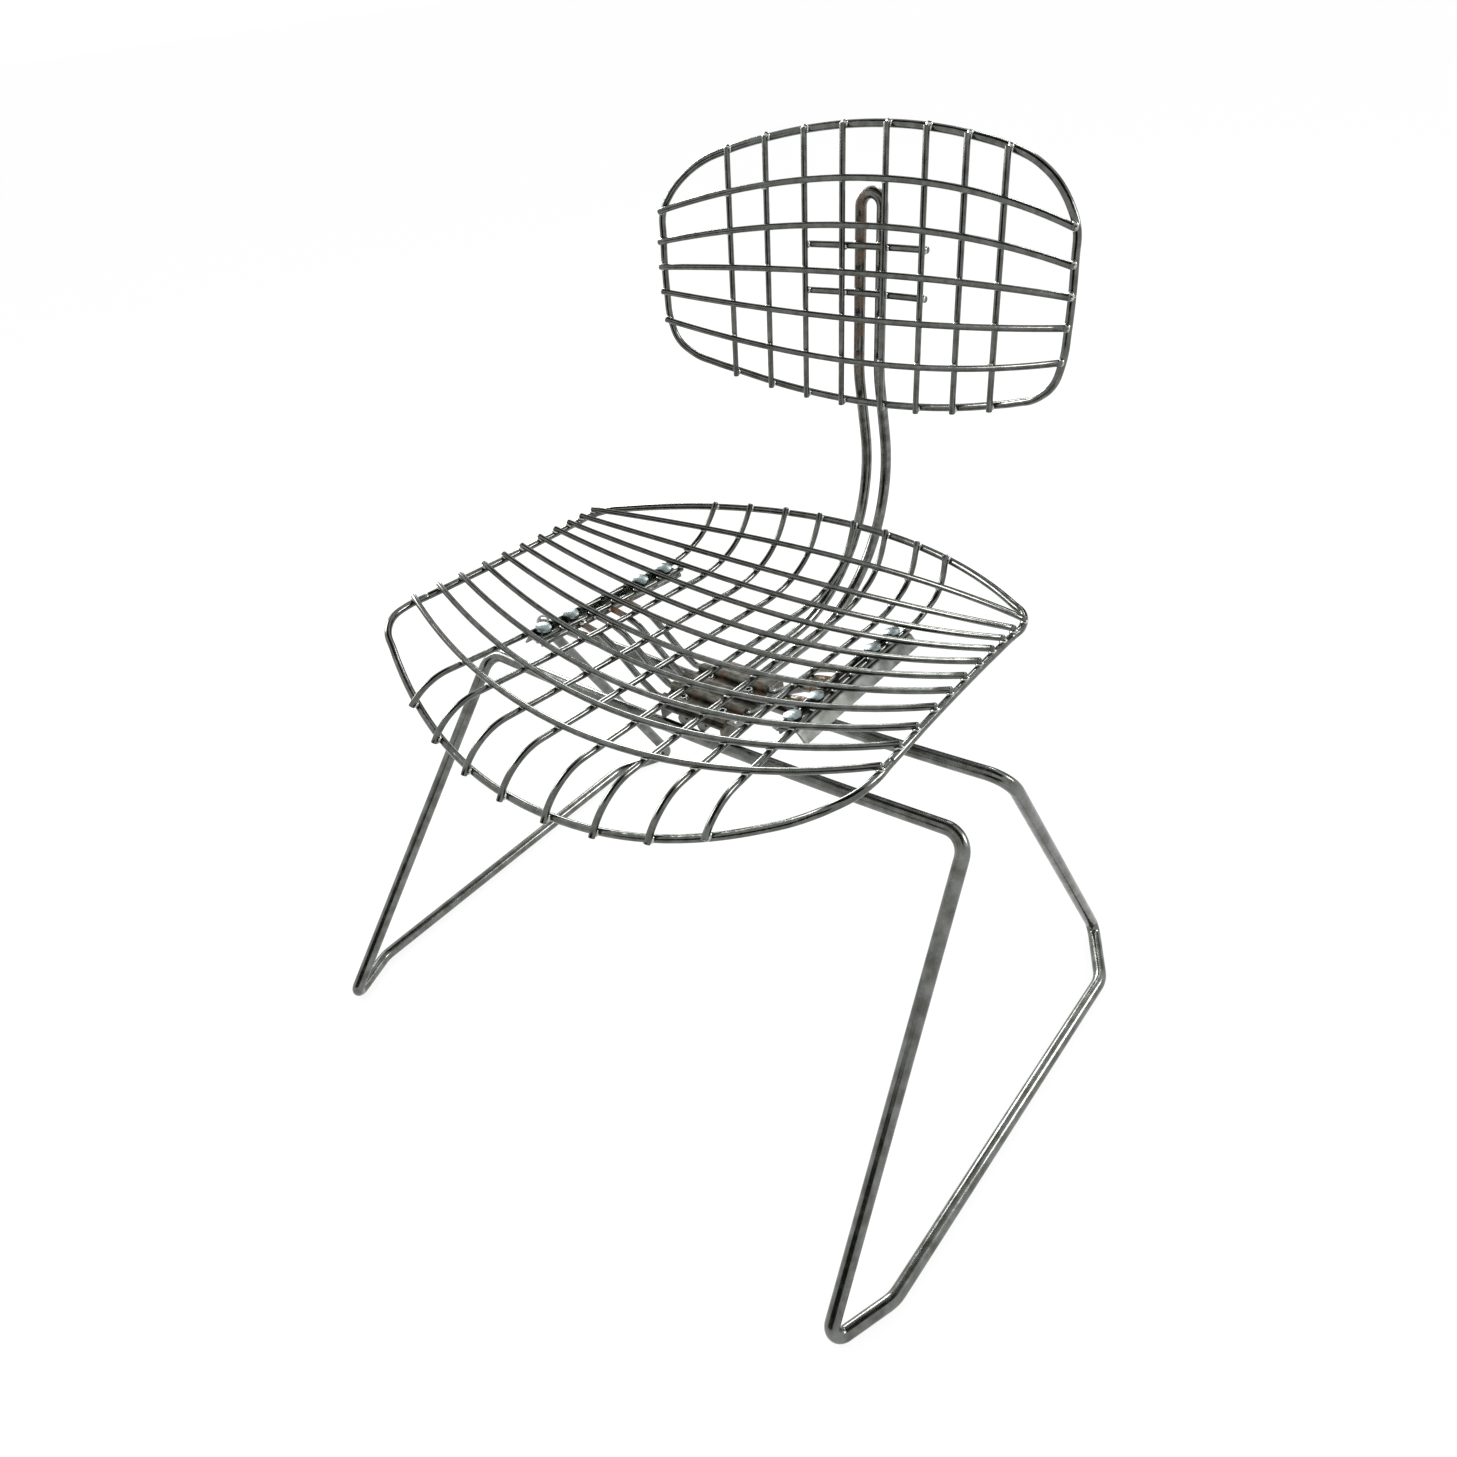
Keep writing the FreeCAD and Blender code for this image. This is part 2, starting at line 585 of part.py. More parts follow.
def under_crosses(start, crosses):
    """Where a wire from rear to front runs under each cross wire, welded to it."""
    crossing = []
    for wire in crosses:
        x = start
        for attempt in range(5):
            x = long_x(start, wire.at(x).y)
        crossing.append((wire, x, wire.at(x)))
    tops = [c[2] for c in crossing]
    along = tangents(tops)
    lower = []
    for (wire, x, top), heading in zip(crossing, along):
        up = unit(heading.cross(wire.heading(x)))
        if up.z < 0:
            up = up * -1
        lower.append(top - up * 2 * CROSS_GAP)
    return lower


def over_rim(rim, x, heading):
    """Middle of a wire with this heading that lies on top of the rim."""
    up = unit(unit(rim(x + 1) - rim(x - 1)).cross(heading))
    if up.z < 0:
        up = up * -1
    return rim(x) + up * RIM_GAP


def rear_rim_end(x, near, second):
    """Where a long wire lies on the rear rim, and its heading there."""
    end = rim_rear(x) + VEC(0, 0, RIM_GAP)
    before = unit(near - second)
    for attempt in range(8):
        chord = unit(end - near)
        heading = unit(unit(chord * (2.0 * chord.dot(before)) - before) + chord)
        end = over_rim(rim_rear, x, heading)
    return end, heading


def front_bend(x, near, second):
    """Straight run past the last cross wire, then one bend down on to the front rim."""
    ahead = unit(near - second)
    level = unit(VEC(ahead.x, ahead.y, 0))
    pitch = math.asin(ahead.z)
    end = rim_front(x) + VEC(0, 0, RIM_GAP)
    run = 0.0
    for attempt in range(30):
        fall = (end.z - near.z - run * math.sin(pitch)) / SEAT_FRONT_RADIUS
        down = math.acos(max(-1.0, min(1.0, math.cos(pitch) + fall)))
        reach = SEAT_FRONT_RADIUS * (math.sin(pitch) + math.sin(down))
        run = max(1.0, ((end - near).dot(level) - reach) / math.cos(pitch))
        heading = level * math.cos(down) - VEC(0, 0, math.sin(down))
        end = over_rim(rim_front, x, heading)
    start = near + ahead * run
    rise = SEAT_FRONT_RADIUS * (math.cos(down) - math.cos(pitch))
    return start, ahead, start + level * reach + VEC(0, 0, rise), heading


def build_seat():
    crosses = [CrossWire(m, e) for m, e in zip(CROSS_MID_Y, CROSS_END_Y)]
    for i, wire in enumerate(crosses):
        keep("seat_cross_wire_%d" % (i + 1), wire.solid())
    for i, start in enumerate(LONG_X):
        points, headings = long_wire_points(start, crosses)
        solid = rod(through(points, headings), MESH_WIRE)
        keep("seat_long_wire_%d" % (5 + i), solid)
        keep("seat_long_wire_%d" % (4 - i), mirrored(solid))
    held = [w for w in crosses if BRACKET_FRONT_Y < w.at(LONG_X[-1]).y < BRACKET_REAR_Y + 2]
    rail = under_crosses(LONG_X[-1] - RAIL_GAP, held)
    rear = [rim_rear(x) for x in RIM_REAR_X]
    rear_corner = [rim_rear(RIM_REAR_CORNER_X), rim_side(RIM_REAR_CORNER_Y)]
    side_y = (RIM_SPLIT_REAR_Y,) + RIM_SIDE_Y + (RIM_SPLIT_FRONT_Y,)
    sides = [rim_side(y) for y in side_y + (RIM_SIDE_END_Y,)]
    front_corner = [VEC(*p) for p in RIM_FRONT_CORNER]
    front = [rim_front(x) for x in RIM_FRONT_X]
    half = rear + rear_corner + sides + front_corner + front
    loop = half + [side(p, -1) for p in reversed(half[1:-1])]
    rear_cut = len(rear) + len(rear_corner)
    front_cut = rear_cut + len(side_y) - 1
    cuts = (rear_cut, front_cut, len(loop) - front_cut, len(loop) - rear_cut)
    closed_rim("seat_rim", loop, cuts, ("right", "front", "left", "rear"), RIM_WIRE)
    return points, rail


# Seat brackets under the outer long wires, round heads that hold the wire down, springs

def point_at(points, y):
    for a, b in zip(points, points[1:]):
        if min(a.y, b.y) <= y <= max(a.y, b.y):
            return a + (b - a) * ((y - a.y) / (b.y - a.y))
    near, other = points[0], points[1]
    if abs(y - points[0].y) > abs(y - points[-1].y):
        near, other = points[-1], points[-2]
    return near + (near - other) * ((y - near.y) / (near.y - other.y))


class Bracket:
    """Straight folded sheet that touches the outer long wire and the rail wire from below."""

    def __init__(self, outer, rail):
        beside = [point_at(outer, p.y) for p in rail]
        first = (rail[-1] + beside[-1]) * 0.5
        last = (rail[0] + beside[0]) * 0.5
        self.axis = unit(last - first)
        across = sum([unit(b - p) for b, p in zip(beside, rail)], VEC(0, 0, 0))
        self.up = unit(across.cross(self.axis))
        self.across = self.axis.cross(self.up)
        lowest = min((p - first).dot(self.up) for p in rail + beside)
        self.origin = first + self.up * (lowest - MESH_WIRE / 2.0 + SEAT_SINK)

    def at_y(self, y, u, w):
        start = self.origin + self.across * u + self.up * w
        return start + self.axis * ((y - start.y) / self.axis.y)

    def section(self, depth):
        """Corners of the folded section, this deep under the top face."""
        corners = []
        flanges = ((-1, BRACKET_INNER_LEAN, BRACKET_INNER_DROP), (1, BRACKET_OUTER_LEAN, BRACKET_OUTER_DROP))
        for sign, lean, drop in flanges:
            run = math.hypot(lean, drop)
            inward = depth * (run - lean) / drop
            shoulder = VEC(sign * (BRACKET_TOP_HALF - inward), 0, -depth)
            foot = VEC(sign * (BRACKET_TOP_HALF + lean - depth * drop / run), 0, -drop - depth * lean / run)
            corners += [foot, shoulder] if sign < 0 else [shoulder, foot]
        return corners

    def solid(self):
        upper = self.section(0.0)
        lower = self.section(SHEET)
        outer = bent(upper, [BRACKET_BEND + SHEET, BRACKET_BEND + SHEET])
        inner = bent(list(reversed(lower)), [BRACKET_BEND, BRACKET_BEND])
        face = Part.Face(Part.Wire(outer + [line(upper[-1], lower[-1])] + inner + [line(lower[0], upper[0])]))
        start = self.at_y(BRACKET_FRONT_Y, 0, 0)
        length = (self.at_y(BRACKET_REAR_Y, 0, 0) - start).Length
        solid = face.extrude(VEC(0, 1, 0) * length)
        place = FreeCAD.Matrix(self.across.x, self.axis.x, self.up.x, start.x,
                               self.across.y, self.axis.y, self.up.y, start.y,
                               self.across.z, self.axis.z, self.up.z, start.z,
                               0, 0, 0, 1)
        solid.Placement = FreeCAD.Placement(place)
        return solid


def build_head(bracket, y, wires):
    """Domed disc over both wires, its neck between them, its shank riveted under the sheet."""
    foot = bracket.at_y(y, 0, 0)
    top = max((point_at(wire, y) - foot).dot(bracket.up) for wire in wires) + MESH_WIRE / 2.0 + HEAD_LIFT
    under = -SHEET - HEAD_FOOT_THICK
    radius = HEAD_DIAMETER / 2.0
    crown_top = top + HEAD_THICK
    edge = crown_top - HEAD_CROWN + math.sqrt(HEAD_CROWN ** 2 - radius ** 2)
    half = radius / 2.0
    half_up = crown_top - HEAD_CROWN + math.sqrt(HEAD_CROWN ** 2 - half ** 2)
    steps = [(0, under), (HEAD_FOOT / 2.0, under), (HEAD_FOOT / 2.0, -SHEET), (HEAD_SHANK / 2.0, -SHEET),
             (HEAD_SHANK / 2.0, 0), (HEAD_NECK / 2.0, 0), (HEAD_NECK / 2.0, top), (radius, top), (radius, edge)]
    corners = [VEC(r, 0, h) for r, h in steps]
    profile = [line(a, b) for a, b in zip(corners, corners[1:])]
    profile.append(Part.Arc(corners[-1], VEC(half, 0, half_up), VEC(0, 0, crown_top)).toShape())
    profile.append(line(VEC(0, 0, crown_top), corners[0]))
    head = Part.Face(Part.Wire(profile)).revolve(VEC(0, 0, 0), VEC(0, 0, 1), 360)
    head.Placement = FreeCAD.Placement(foot, FreeCAD.Rotation(VEC(0, 0, 1), bracket.up))
    return head


def build_brackets(outer, rail):
    bracket = Bracket(outer, rail)
    body = bracket.solid()
    heads = []
    for y in HEAD_Y:
        heads.append(build_head(bracket, y, (outer, rail)))
        foot = bracket.at_y(y, 0, 0)
        under = foot - bracket.up * 2 * SHEET
        hole = Part.makeCylinder(HEAD_SHANK / 2.0 + HOLE_PLAY / 2.0, 4 * SHEET, under, bracket.up)
        body = body.cut(hole)
    rail_wire = rod(through([point_at(rail, RAIL_REAR_Y)] + rail + [point_at(rail, RAIL_FRONT_Y)]), MESH_WIRE)
    keep("seat_bracket_right", body)
    keep("seat_bracket_left", mirrored(body))
    keep("seat_bracket_heads", *(heads + [mirrored(h) for h in heads]))
    keep("seat_rail_wire_right", rail_wire)
    keep("seat_rail_wire_left", mirrored(rail_wire))
    for i, y in enumerate(SPRING_Y):
        end = bracket.at_y(y, WELD - (RAIL_GAP + MESH_WIRE) / 2.0, -SPRING_END_DROP)
        slope = bracket.across.z / bracket.across.x
        inner_x = SPRING_BENDS[-1][0]
        last = VEC(inner_x, y, end.z - slope * (end.x - inner_x))
        half = [VEC(x, y, SPRING_FLAT_Z + rise) for x, rise in SPRING_BENDS[:-1]] + [last, end]
        path = [side(p, -1) for p in reversed(half)] + half
        keep("spring_wire_%d" % (i + 1), rod(bent(path, SPRING_BEND_RADII[::-1] + SPRING_BEND_RADII), SPRING_WIRE))


build_base()
build_clamp()
build_back()
post_gap = CROSS_GAP + (MESH_WIRE + BAR_WIRE) / 2.0 + (BAR_WIRE + POST_ROD) / 2.0 - 2 * WELD
upper_rest = back_point(POST_X, MOUNT_BAR_Z[0], post_gap)
top_y = upper_rest.y + BACK_LEAN * (POST_TOP_Z - upper_rest.z)
low_rest = back_point(POST_X, MOUNT_BAR_Z[1], post_gap)
knee_y = low_rest.y + BACK_LEAN * (POST_KNEE_Z - low_rest.z)
build_post(knee_y, top_y)
build_brackets(*build_seat())

os.makedirs("parts", exist_ok=True)
move = VEC(0, -FOOTPRINT_MID_Y, BASE_ROD / 2.0 - WEAR_FLAT)
for name, shape in made.items():
    shape = shape.copy()
    shape.translate(move)
    if not shape.isValid():
        print("not valid:", name)
    shape.exportStep("parts/%s.step" % name)
print(len(made), "pieces")
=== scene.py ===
"""Looks of the wire mesh chair: chromed rods and wires, rusted clamp, weld beads and the studio."""
import math
import random

import bmesh
import bpy
from bpy.props import FloatProperty, FloatVectorProperty, IntProperty, PointerProperty, StringProperty
from mathutils import Matrix, Vector
from mathutils.bvhtree import BVHTree


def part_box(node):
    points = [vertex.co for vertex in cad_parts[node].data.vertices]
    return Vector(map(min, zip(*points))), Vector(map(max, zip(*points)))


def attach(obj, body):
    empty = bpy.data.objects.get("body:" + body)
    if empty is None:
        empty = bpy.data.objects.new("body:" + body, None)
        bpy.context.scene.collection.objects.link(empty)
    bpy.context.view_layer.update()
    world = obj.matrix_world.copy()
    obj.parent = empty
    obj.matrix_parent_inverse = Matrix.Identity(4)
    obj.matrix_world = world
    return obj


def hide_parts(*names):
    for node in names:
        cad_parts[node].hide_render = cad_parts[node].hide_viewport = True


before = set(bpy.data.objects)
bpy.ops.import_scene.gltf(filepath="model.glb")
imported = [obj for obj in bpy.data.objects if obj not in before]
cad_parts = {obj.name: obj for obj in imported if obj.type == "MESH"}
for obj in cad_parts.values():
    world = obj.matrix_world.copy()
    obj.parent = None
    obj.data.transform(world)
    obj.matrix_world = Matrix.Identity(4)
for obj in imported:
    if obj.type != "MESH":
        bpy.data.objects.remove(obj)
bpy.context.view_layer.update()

bl_info = {
    "name": "Wire mesh chair",
    "version": (1, 0, 0),
    "blender": (4, 5, 0),
    "location": "3D View > Sidebar > Chair",
    "description": "Finishes, weld beads and studio of a chromed wire mesh chair",
    "category": "Object",
}

MM = 0.001
ROOT = "root"

# Clean-up of a copied CAD mesh
MERGE_GAP = 0.001 * MM
FLAT_ANGLE = math.radians(0.3)
SHARP_EDGE = math.radians(40.0)
SHARP_BEAD = math.radians(80.0)
WIRE_END_ROUND = 1.0 * MM

# Weld beads
CONTACT_STEPS = 40
CONTACT_GAP = 0.6 * MM
BEAD_SPREAD = 0.15
RIM_BEAD_RISE = 1.3
POST_BEAD_RISE = 1.2
SPRING_BEAD_RISE = 1.5
SPRING_BEAD_REACH = 1.1
# about half of a mount bar and of a post rod, to search from, and the four uprights in front of the bars
BAR_MIDDLE = 3.0 * MM
POST_ROD_MIDDLE = 5.0 * MM
BAR_UPRIGHTS = slice(2, 6)

# Finishes
# the haze on the plating: its blotches against the colour's, and what it adds to the roughness
HAZE_SIZE = 0.6
HAZE_ROUGHNESS = 0.14
PIT_HEIGHT = 0.2 * MM
RUST_GRAIN = 1.6 * MM
RUST_ROUGHNESS = 0.85
RUST_COVER = 0.9
# share of a rust spot's reach where its mask is full
FULL_REACH = 0.2
PLATE_RUST_REACH = 15.0 * MM
# the clamp's rust spots lie in from the corners of the fasteners' box, then to the right and up
FASTENER_INSET = 4.0 * MM
RUST_ASIDE = 9.0 * MM
RUST_UP = 6.0 * MM
BRACKET_RUST = ((0.131, 0.020, 0.400), (0.134, 0.034, 0.398))
BRACKET_RUST_REACH = 22.0 * MM
POST_BROWN_FROM = 0.50
POST_BROWN_FULL = 0.60
POST_BROWN_SIDE = -6.0 * MM
SPRING_RUST_FROM = 104.0 * MM
SPRING_RUST_FULL = 126.0 * MM

# Studio
FLOOR_HALF = 60.0
FLOOR_GLOW = 0.88
WORLD_LIGHT = 0.97
WHITE = (1.0, 1.0, 1.0, 1.0)
# name, place, width and height of each card, and the point that they face
# the cards are glowing dark sheets that only the chrome sees: painted dark reflections
CARDS_FACE = Vector((0, 0, 0.5))
CARDS = (("front_card", (0.4, -3.4, 0.95), (4.2, 1.8)),
         ("rear_card", (-0.4, 3.4, 1.2), (3.4, 1.7)),
         ("top_card", (0.1, 0.0, 3.2), (2.4, 4.0)))
# name, place, width and height, and watts of each lamp, and the point that they face
LAMPS_FACE = Vector((0, 0, 0.4))
LAMPS = (("left_window", (-2.2, -0.2, 1.6), (0.8, 1.2), 42.0),
         ("right_rear_window", (1.7, 1.55, 1.65), (0.7, 0.9), 30.0),
         ("left_rear_window", (-1.95, 1.55, 1.2), (0.6, 1.0), 34.0),
         ("rear_strip", (-0.6, 2.4, 2.0), (0.5, 0.4), 12.0))
SENSOR_WIDTH = 36.0
VIEW_END = 50.0


# Nodes of the frame

def node_names(*starts):
    """Names of the CAD nodes with each start, in order."""
    return [name for start in starts for name in sorted(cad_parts) if name.startswith(start)]


SURFACES = {}


def surface(name):
    """Search tree over a CAD node's faces, made once."""
    if name not in SURFACES:
        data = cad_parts[name].data
        SURFACES[name] = BVHTree.FromPolygons([v.co for v in data.vertices],
                                              [p.vertices for p in data.polygons])
    return SURFACES[name]


# Finished pieces

def finish_piece(mesh, name, material, sharp):
    """Makes the bmesh a smooth object that rides on the chair, with its edges over the sharp angle kept."""
    data = bpy.data.meshes.new(name)
    for face in mesh.faces:
        face.smooth = True
        face.material_index = 0
    for edge in mesh.edges:
        edge.smooth = edge.calc_face_angle(0.0) < sharp
    mesh.to_mesh(data)
    mesh.free()
    # the CAD mesh's own normals no longer fit the merged faces
    if "custom_normal" in data.attributes:
        data.attributes.remove(data.attributes["custom_normal"])
    piece = bpy.data.objects.new(name, data)
    bpy.context.scene.collection.objects.link(piece)
    data.materials.append(material)
    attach(piece, ROOT)
    return piece


def dress(material, slot, *names, end_round=0.0):
    """Stands a smooth piece in for each CAD node, its sharp edges rounded if asked, in its own finish."""
    for name in names:
        mesh = bmesh.new()
        mesh.from_mesh(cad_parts[name].data)
        bmesh.ops.remove_doubles(mesh, verts=mesh.verts, dist=MERGE_GAP)
        bmesh.ops.dissolve_limit(mesh, angle_limit=FLAT_ANGLE, verts=mesh.verts, edges=mesh.edges)
        if end_round:
            edges = [e for e in mesh.edges if e.calc_face_angle(0.0) > SHARP_EDGE]
            bmesh.ops.bevel(mesh, geom=edges, offset=end_round, segments=3, profile=0.5, affect="EDGES",
                            material=-1, clamp_overlap=True)
        piece = finish_piece(mesh, name + "_piece", material, SHARP_EDGE)
        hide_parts(name)


# Weld beads

def contact(first, second, start):
    """Where two touching wires meet near the start, and the first one's normal there; None if they don't."""
    point = Vector(start)
    for step in range(CONTACT_STEPS):
        point = surface(first).find_nearest(point)[0]
        point = surface(second).find_nearest(point)[0]
    spot, normal = surface(first).find_nearest(point)[:2]
    return (spot, normal) if (spot - point).length < CONTACT_GAP else None


def crossing(first, second):
    """The two wires and a point near their crossing: the middle of the room that their boxes share."""
    low_a, high_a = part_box(first)
    low_b, high_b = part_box(second)
    low = [max(a, b) for a, b in zip(low_a, low_b)]
    high = [min(a, b) for a, b in zip(high_a, high_b)]
    middle = Vector([(a + b) / 2 for a, b in zip(low, high)])
    return first, second, surface(first).find_nearest(middle)[0]


def wire_ends(wire):
    """The wire's two ends: its farthest points apart."""
    points = [v.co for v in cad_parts[wire].data.vertices]
    first = max(points, key=lambda p: (p - points[0]).length)
    return first, max(points, key=lambda p: (p - first).length)


def rim_meetings(wires, rims):
    """For both ends of each wire: the wire, the nearest rim piece and the end's point."""
    return [(wire, min(rims, key=lambda name: surface(name).find_nearest(end)[3]), end)
            for wire in wires for end in wire_ends(wire)]


def bead(mesh, dice, spot, normal, radius, height):
    """One squeezed drop of weld metal, flat along the normal."""
    spin = Matrix.Rotation(dice.uniform(0, math.tau), 4, "Z")
    turn = normal.to_track_quat("Z", "Y").to_matrix().to_4x4() @ spin
    low, high = 1 - BEAD_SPREAD, 1 + BEAD_SPREAD
    size = Matrix.Diagonal((radius * dice.uniform(low, high), radius * dice.uniform(low, high), height, 1.0))
    bmesh.ops.create_icosphere(mesh, subdivisions=2, radius=1.0,
                               matrix=Matrix.Translation(spot) @ turn @ size)


def weld_group(name, meetings, radius, height, seed):
    """A bead at each place where two nodes meet: (first node, second node, point to search from)."""
    dice = random.Random(seed)
    mesh = bmesh.new()
    for first, second, start in meetings:
        found = contact(first, second, start)
        if found:
            bead(mesh, dice, *found, radius, height)
    if not mesh.verts:
        raise RuntimeError("no wires touch for " + name)
    # each bead takes the lighter weld chrome, a painted highlight that stands for a glint
    finish_piece(mesh, name, bpy.data.materials["weld_chrome_painted_glint"], SHARP_BEAD)


# Materials

def linear(hex_colour):
    """Linear RGBA of an sRGB hex colour."""
    values = [int(hex_colour.lstrip("#")[i:i + 2], 16) / 255 for i in (0, 2, 4)]
    return tuple(v / 12.92 if v <= 0.04045 else ((v + 0.055) / 1.055) ** 2.4 for v in values) + (1.0,)


def add(tree, kind, inputs=(), **settings):
    """Adds a node with its settings; each input takes a value, a socket, or a node for its first output."""
    node = tree.nodes.new(kind)
    for name, value in settings.items():
        setattr(node, name, value)
    for key, value in dict(inputs).items():
        if isinstance(value, bpy.types.Node):
            value = value.outputs[0]
        if isinstance(value, bpy.types.NodeSocket):
            tree.links.new(value, node.inputs[key])
        else:
            node.inputs[key].default_value = value
    return node


def new_material(name):
    """An empty node material, and its tree."""
    material = bpy.data.materials.new(name)
    material.use_nodes = True
    material.node_tree.nodes.clear()
    return material, material.node_tree


def blotches(tree, place, size, low, high, top=1.0, detail=3.0, roughness=0.55):
    """Mask of blotches about this wide: 0 under the noise level low, top over the level high."""
    cloud = add(tree, "ShaderNodeTexNoise", {"Vector": place, "Scale": 1.0 / size, "Detail": detail,
                                             "Roughness": roughness})
    return add(tree, "ShaderNodeMapRange", {"Value": cloud, "From Min": low, "From Max": high, "To Max": top})


def specks(tree, place, size, low, high, top):
    """Mask of small ragged specks."""
    return blotches(tree, place, size, low, high, top, detail=5.0, roughness=0.7)


def near(tree, place, points, reach):
    """Mask that is 1 close to the given points and fades to 0 at the reach."""
    mask = 0.0
    for point in points:
        gap = add(tree, "ShaderNodeVectorMath", {0: place, 1: point}, operation="DISTANCE")
        spot = add(tree, "ShaderNodeMapRange", {"Value": gap.outputs["Value"], "From Min": reach,
                                                "From Max": FULL_REACH * reach})
        mask = add(tree, "ShaderNodeMath", {0: mask, 1: spot}, operation="MAXIMUM")
    return mask


def seen_directly(tree):
    """1 for rays from the camera, mirrored or let through, and 0 for the light that falls on the chair."""
    path = add(tree, "ShaderNodeLightPath")
    seen = add(tree, "ShaderNodeMath", {0: path.outputs["Is Camera Ray"], 1: path.outputs["Is Glossy Ray"]},
               operation="MAXIMUM")
    return add(tree, "ShaderNodeMath", {0: seen, 1: path.outputs["Is Transmission Ray"]}, operation="MAXIMUM")


def metal(name, clean, dull, rough, worn=None, blotch=9.0 * MM, pit=2.0 * MM, pit_depth=0.012):
    """Plated metal: clean and dulled areas in two colours, fine pits, and rust where the mask worn says."""
    look = bpy.context.scene.chair_finish
    material, tree = new_material(name)
    place = add(tree, "ShaderNodeTexCoord").outputs["Object"]
    cloud = blotches(tree, place, blotch, low=0.35, high=0.65)
    plate = add(tree, "ShaderNodeMix", {0: cloud, 6: linear(clean), 7: linear(dull)}, data_type="RGBA")
    colour = plate.outputs[2]
    haze = blotches(tree, place, blotch * HAZE_SIZE, low=0.3, high=0.75, top=HAZE_ROUGHNESS)
    roughness = add(tree, "ShaderNodeMath", {0: haze, 1: rough}, operation="ADD")
    metallic = 1.0
    if worn:
        mask = worn(tree, place)
        grain = blotches(tree, place, RUST_GRAIN, low=0.35, high=0.65)
        rust = add(tree, "ShaderNodeMix", {0: grain, 6: linear(look.rust_hex),
                                           7: linear(look.rust_light_hex)}, data_type="RGBA")
        rusted = add(tree, "ShaderNodeMix", {0: mask, 6: colour, 7: rust.outputs[2]}, data_type="RGBA")
        colour = rusted.outputs[2]
        matt = add(tree, "ShaderNodeMath", {0: mask, 1: RUST_ROUGHNESS}, operation="MULTIPLY")
        roughness = add(tree, "ShaderNodeMath", {0: roughness, 1: matt}, operation="MAXIMUM")
        cover = add(tree, "ShaderNodeMath", {0: mask, 1: RUST_COVER}, operation="MULTIPLY")
        metallic = add(tree, "ShaderNodeMath", {0: 1.0, 1: cover}, operation="SUBTRACT")
    # real pits are finer: they are drawn as coarse as a render of the whole chair can show
    pits = add(tree, "ShaderNodeTexNoise", {"Vector": place, "Scale": 1.0 / pit, "Detail": 4.0,
                                            "Roughness": 0.6})
    bump = add(tree, "ShaderNodeBump", {"Height": pits, "Strength": pit_depth, "Distance": PIT_HEIGHT})
    shader = add(tree, "ShaderNodeBsdfPrincipled", {"Base Color": colour, "Roughness": roughness,
                                                    "Metallic": metallic, "Normal": bump})
    add(tree, "ShaderNodeOutputMaterial", {"Surface": shader})
    return material


# Settings

class ChairFinish(bpy.types.PropertyGroup):
    """Colours and shine of the metals"""
    wire_hex: StringProperty(name="Wire", description="Colour of clean chromed wire", default="#6b6d6a")
    wire_dull_hex: StringProperty(name="Dull wire", description="Colour of dulled chromed wire",
                                  default="#555752")
    # the weld colours are much lighter than the wire's chrome: a painted highlight, so each bead shows as a
    # bright glint
    weld_glint_hex: StringProperty(name="Weld", description="Colour of the clean weld beads", default="#c9cac6")
    weld_glint_dull_hex: StringProperty(name="Dull weld", description="Colour of the dulled weld beads",
                                  default="#9a9b94")
    rod_hex: StringProperty(name="Rod", description="Colour of the clean chromed base rod", default="#797b78")
    rod_dull_hex: StringProperty(name="Dull rod", description="Colour of the dulled base rod",
                                 default="#5b5c57")
    spring_hex: StringProperty(name="Spring", description="Colour of the clean spring wires",
                               default="#8f918d")
    clamp_hex: StringProperty(name="Clamp", description="Colour of the clean clamp sheet", default="#6f6e66")
    clamp_dull_hex: StringProperty(name="Dull clamp", description="Colour of the dulled clamp sheet",
                                   default="#4b4a43")
    fastener_hex: StringProperty(name="Fastener", description="Colour of the clean clamp fasteners",
                                 default="#b4b8b7")
    fastener_dull_hex: StringProperty(name="Dull fastener",
                                      description="Colour of the dulled clamp fasteners", default="#8b8f8d")
    bracket_hex: StringProperty(name="Bracket", description="Colour of the clean seat brackets",
                                default="#858883")
    bracket_dull_hex: StringProperty(name="Dull bracket", description="Colour of the dulled seat brackets",
                                     default="#5d5f5a")
    head_hex: StringProperty(name="Head", description="Colour of the clean heads on the brackets",
                             default="#93a0a1")
    head_dull_hex: StringProperty(name="Dull head", description="Colour of the dulled heads on the brackets",
                                  default="#77807f")
    rust_hex: StringProperty(name="Rust", description="Colour of the dark rust", default="#4f3822")
    rust_light_hex: StringProperty(name="Light rust", description="Colour of the light rust",
                                   default="#75512e")
    shine: FloatProperty(name="Shine", description="Roughness of the best chrome", default=0.09,
                         min=0.0, max=1.0, subtype="FACTOR")


class ChairWelds(bpy.types.PropertyGroup):
    """Sizes of the weld beads"""
    mesh_bead: FloatProperty(name="Mesh bead", description="Radius of a bead where two wires cross",
                             default=3.5 * MM, unit="LENGTH")
    rim_bead: FloatProperty(name="Rim bead", description="Radius of a bead where a wire meets the rim",
                            default=4.0 * MM, unit="LENGTH")
    bead_height: FloatProperty(name="Bead height", description="Half the height of a bead",
                               default=1.5 * MM, unit="LENGTH")
    seed: IntProperty(name="Seed", description="Start of the random bead sizes", default=7)


